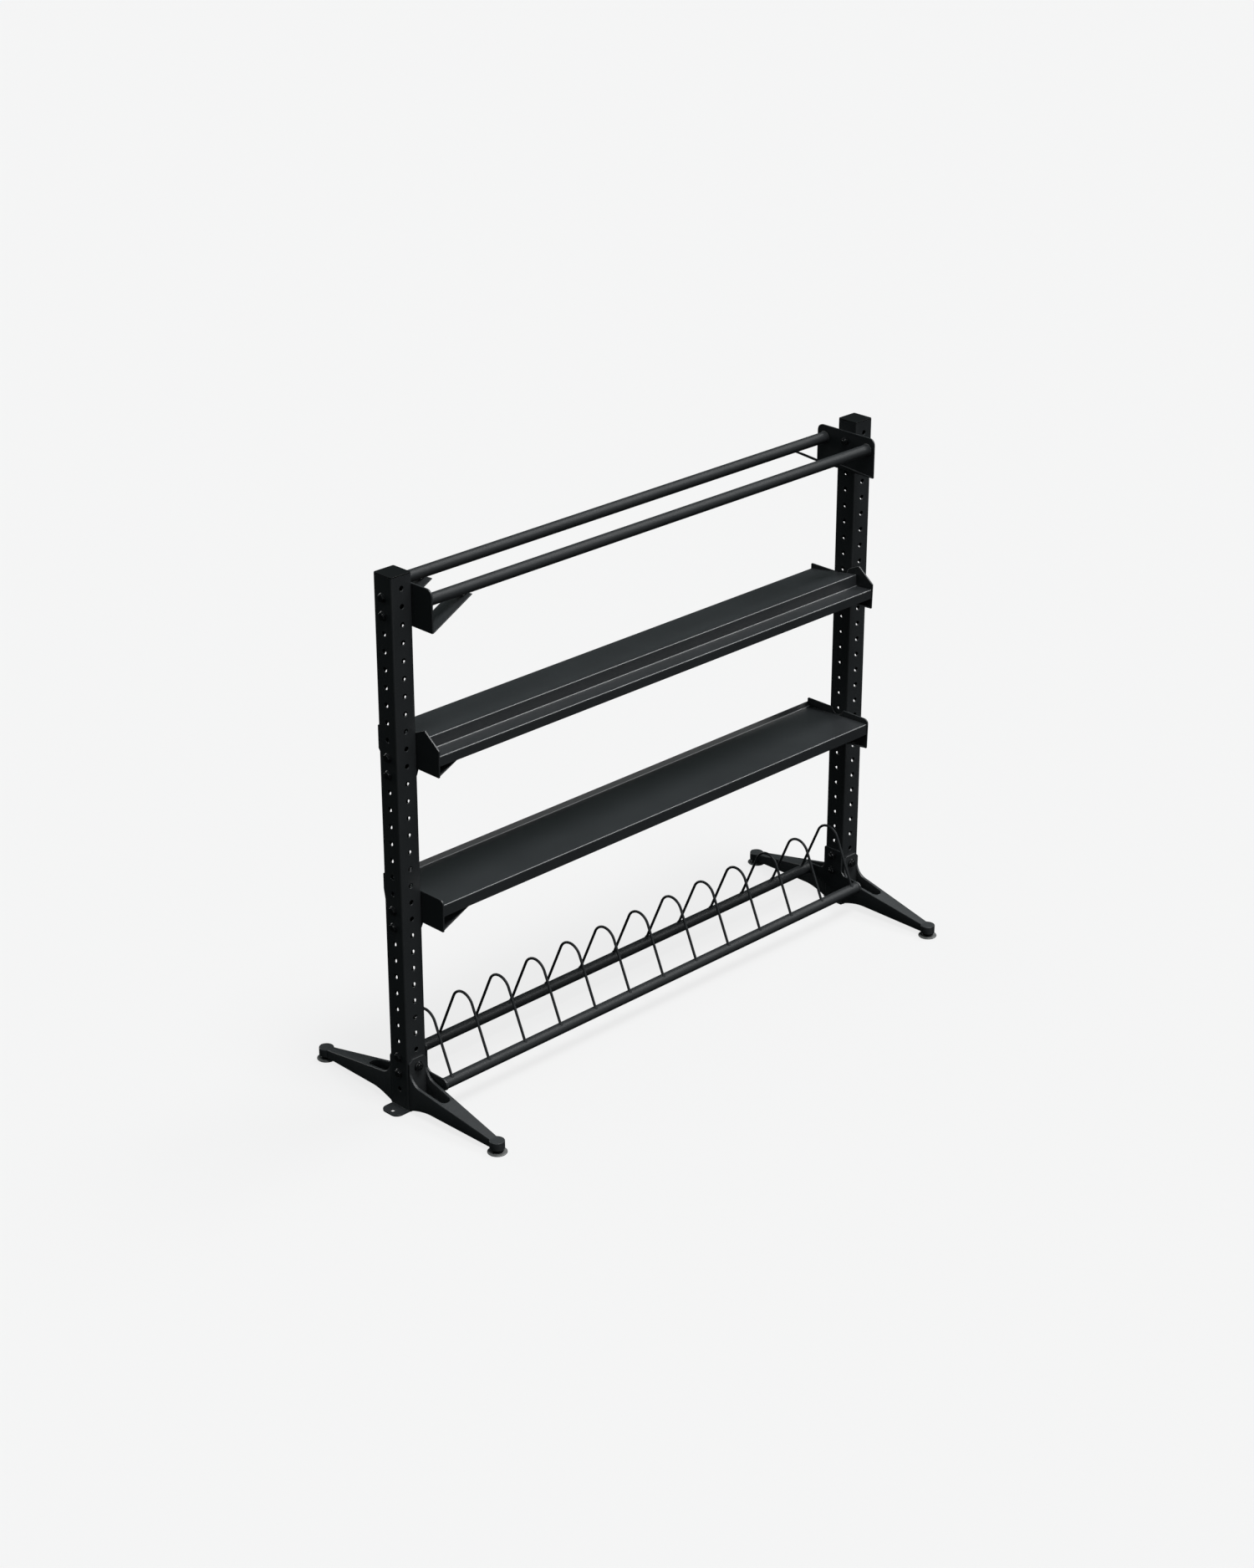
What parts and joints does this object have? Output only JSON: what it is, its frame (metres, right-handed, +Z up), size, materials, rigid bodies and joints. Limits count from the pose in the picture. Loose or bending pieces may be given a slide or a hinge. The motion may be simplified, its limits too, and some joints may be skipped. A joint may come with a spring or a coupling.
{
  "type": "dumbbell rack",
  "caption": "Free-standing storage rack: punched uprights on cast feet carry bar rails, a stepped shelf, a tray shelf and a plate rack with wire hoops.",
  "frame": {"origin": "on the floor, under the middle of the rack", "axes": "+X along the rack's length, +Z up, front at -Y"},
  "size_m": [1.95, 0.7714, 1.575],
  "materials": {
    "powder_coat": "fine textured satin black powder coat",
    "bar_coat": "smoother satin black coat on round bars and wire",
    "cap_plastic": "black moulded end cap",
    "fastener": "black zinc, satin",
    "leveller_pad": "grey moulded foot"
  },
  "bodies": {
    "rack": {"upright_left": "powder_coat", "cap_left": "cap_plastic", "rail_bracket_left": "powder_coat", "step_shelf_side_left": "powder_coat", "tray_shelf_side_left": "powder_coat", "plate_rack_bracket_left": "powder_coat", "bolt_rail_left_upper": "fastener", "bolt_rail_left_lower": "fastener", "bolt_step_shelf_left_upper": "fastener", "bolt_step_shelf_left_lower": "fastener", "bolt_tray_shelf_left_upper": "fastener", "bolt_tray_shelf_left_lower": "fastener", "bolt_plate_rack_left_upper": "fastener", "bolt_plate_rack_left_lower": "fastener", "foot_left_front": "powder_coat", "foot_left_rear": "powder_coat", "upright_right": "powder_coat", "cap_right": "cap_plastic", "rail_bracket_right": "powder_coat", "step_shelf_side_right": "powder_coat", "tray_shelf_side_right": "powder_coat", "plate_rack_bracket_right": "powder_coat", "bolt_rail_right_upper": "fastener", "bolt_rail_right_lower": "fastener", "bolt_step_shelf_right_upper": "fastener", "bolt_step_shelf_right_lower": "fastener", "bolt_tray_shelf_right_upper": "fastener", "bolt_tray_shelf_right_lower": "fastener", "bolt_plate_rack_right_upper": "fastener", "bolt_plate_rack_right_lower": "fastener", "foot_right_front": "powder_coat", "foot_right_rear": "powder_coat", "rail_front": "bar_coat", "rail_rear": "bar_coat", "step_shelf_deck": "powder_coat", "tray_shelf_deck": "powder_coat", "plate_rack_tube_front": "bar_coat", "plate_rack_tube_rear": "bar_coat", "hoop_01": "bar_coat", "hoop_02": "bar_coat", "hoop_03": "bar_coat", "hoop_04": "bar_coat", "hoop_05": "bar_coat", "hoop_06": "bar_coat", "hoop_07": "bar_coat", "hoop_08": "bar_coat", "hoop_09": "bar_coat", "hoop_10": "bar_coat", "hoop_11": "bar_coat", "hoop_12": "bar_coat", "hoop_13": "bar_coat"},
    "leveller_pad_left_front": {"pad_left_front": "leveller_pad"},
    "leveller_stud_left_front": {"stud_left_front": "fastener"},
    "leveller_pad_left_rear": {"pad_left_rear": "leveller_pad"},
    "leveller_stud_left_rear": {"stud_left_rear": "fastener"},
    "leveller_pad_right_front": {"pad_right_front": "leveller_pad"},
    "leveller_stud_right_front": {"stud_right_front": "fastener"},
    "leveller_pad_right_rear": {"pad_right_rear": "leveller_pad"},
    "leveller_stud_right_rear": {"stud_right_rear": "fastener"}
  },
  "joints": [
    {"name": "level_left_front", "type": "slide", "parent": "rack", "child": "leveller_pad_left_front", "axis": [0, 0, -1], "range_m": [0, 0.012]},
    {"name": "turn_left_front", "type": "hinge", "parent": "leveller_pad_left_front", "child": "leveller_stud_left_front", "pos_m": [-0.895, -0.358, 0.012], "axis": [0, 0, -1], "range_deg": [0, 2470]},
    {"name": "level_left_rear", "type": "slide", "parent": "rack", "child": "leveller_pad_left_rear", "axis": [0, 0, -1], "range_m": [0, 0.012]},
    {"name": "turn_left_rear", "type": "hinge", "parent": "leveller_pad_left_rear", "child": "leveller_stud_left_rear", "pos_m": [-0.895, 0.358, 0.012], "axis": [0, 0, -1], "range_deg": [0, 2470]},
    {"name": "level_right_front", "type": "slide", "parent": "rack", "child": "leveller_pad_right_front", "axis": [0, 0, -1], "range_m": [0, 0.012]},
    {"name": "turn_right_front", "type": "hinge", "parent": "leveller_pad_right_front", "child": "leveller_stud_right_front", "pos_m": [0.895, -0.358, 0.012], "axis": [0, 0, -1], "range_deg": [0, 2470]},
    {"name": "level_right_rear", "type": "slide", "parent": "rack", "child": "leveller_pad_right_rear", "axis": [0, 0, -1], "range_m": [0, 0.012]},
    {"name": "turn_right_rear", "type": "hinge", "parent": "leveller_pad_right_rear", "child": "leveller_stud_right_rear", "pos_m": [0.895, 0.358, 0.012], "axis": [0, 0, -1], "range_deg": [0, 2470]}
  ],
  "couplings": [
    {"joint": "turn_left_front", "follows": "level_left_front", "rad_per_m": 3590.4},
    {"joint": "turn_left_rear", "follows": "level_left_rear", "rad_per_m": 3590.4},
    {"joint": "turn_right_front", "follows": "level_right_front", "rad_per_m": 3590.4},
    {"joint": "turn_right_rear", "follows": "level_right_rear", "rad_per_m": 3590.4}
  ]
}
